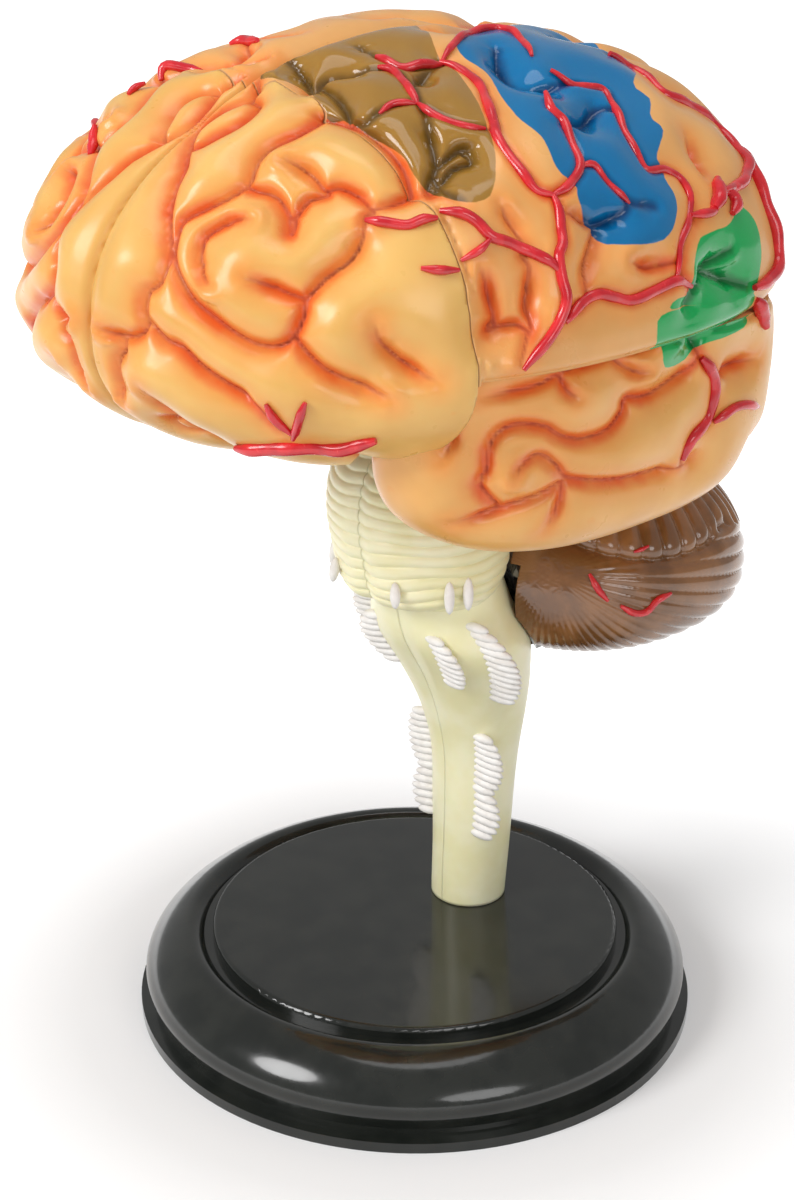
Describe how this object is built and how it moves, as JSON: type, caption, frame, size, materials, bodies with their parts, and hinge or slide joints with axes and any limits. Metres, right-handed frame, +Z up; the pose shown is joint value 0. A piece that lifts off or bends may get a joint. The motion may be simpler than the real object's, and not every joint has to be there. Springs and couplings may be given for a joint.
{
  "type": "brain anatomy model",
  "caption": "Take-apart model of the human brain: folded lobes, ridged cerebellum and brain stem on a round stand.",
  "frame": {"origin": "centre of the stand's underside", "axes": "+Z up, -Y towards the front of the brain, +X towards its left side; X = 0 parts the halves"},
  "size_m": [0.0828, 0.0971, 0.1298],
  "materials": {
    "stand_plastic": "moulded, glossy",
    "stem_plastic": "moulded, glossy",
    "cerebellum_plastic": "moulded, glossy",
    "cortex_plastic": "moulded, glossy",
    "core_plastic": "moulded, glossy",
    "pale_plastic": "moulded, glossy",
    "blue_plastic": "moulded, glossy",
    "grey_plastic": "moulded, glossy",
    "green_plastic": "moulded, glossy",
    "purple_plastic": "moulded, glossy",
    "yellow_plastic": "moulded, glossy",
    "red_plastic": "moulded, glossy",
    "pink_plastic": "moulded, glossy"
  },
  "bodies": {
    "root": {"stand": "stand_plastic", "fourth_ventricle": "grey_plastic", "hypothalamus": "pink_plastic", "brainstem_left": "stem_plastic", "brainstem_right": "stem_plastic", "cerebellum_left": "cerebellum_plastic", "cerebellum_right": "cerebellum_plastic", "frontal_lobe_left": "cortex_plastic", "frontal_lobe_right": "cortex_plastic", "parietal_lobe_left": "cortex_plastic", "parietal_lobe_right": "cortex_plastic", "temporal_lobe_left": "cortex_plastic", "temporal_lobe_right": "cortex_plastic", "white_core_left": "core_plastic", "white_core_right": "core_plastic", "corpus_callosum_left": "pale_plastic", "corpus_callosum_right": "pale_plastic", "lateral_ventricle_left": "blue_plastic", "lateral_ventricle_right": "blue_plastic", "thalamus_left": "grey_plastic", "thalamus_right": "grey_plastic", "caudate_left": "green_plastic", "caudate_right": "green_plastic", "putamen_left": "purple_plastic", "putamen_right": "purple_plastic", "hippocampus_left": "yellow_plastic", "hippocampus_right": "yellow_plastic", "amygdala_left": "red_plastic", "amygdala_right": "red_plastic"}
  },
  "joints": []
}
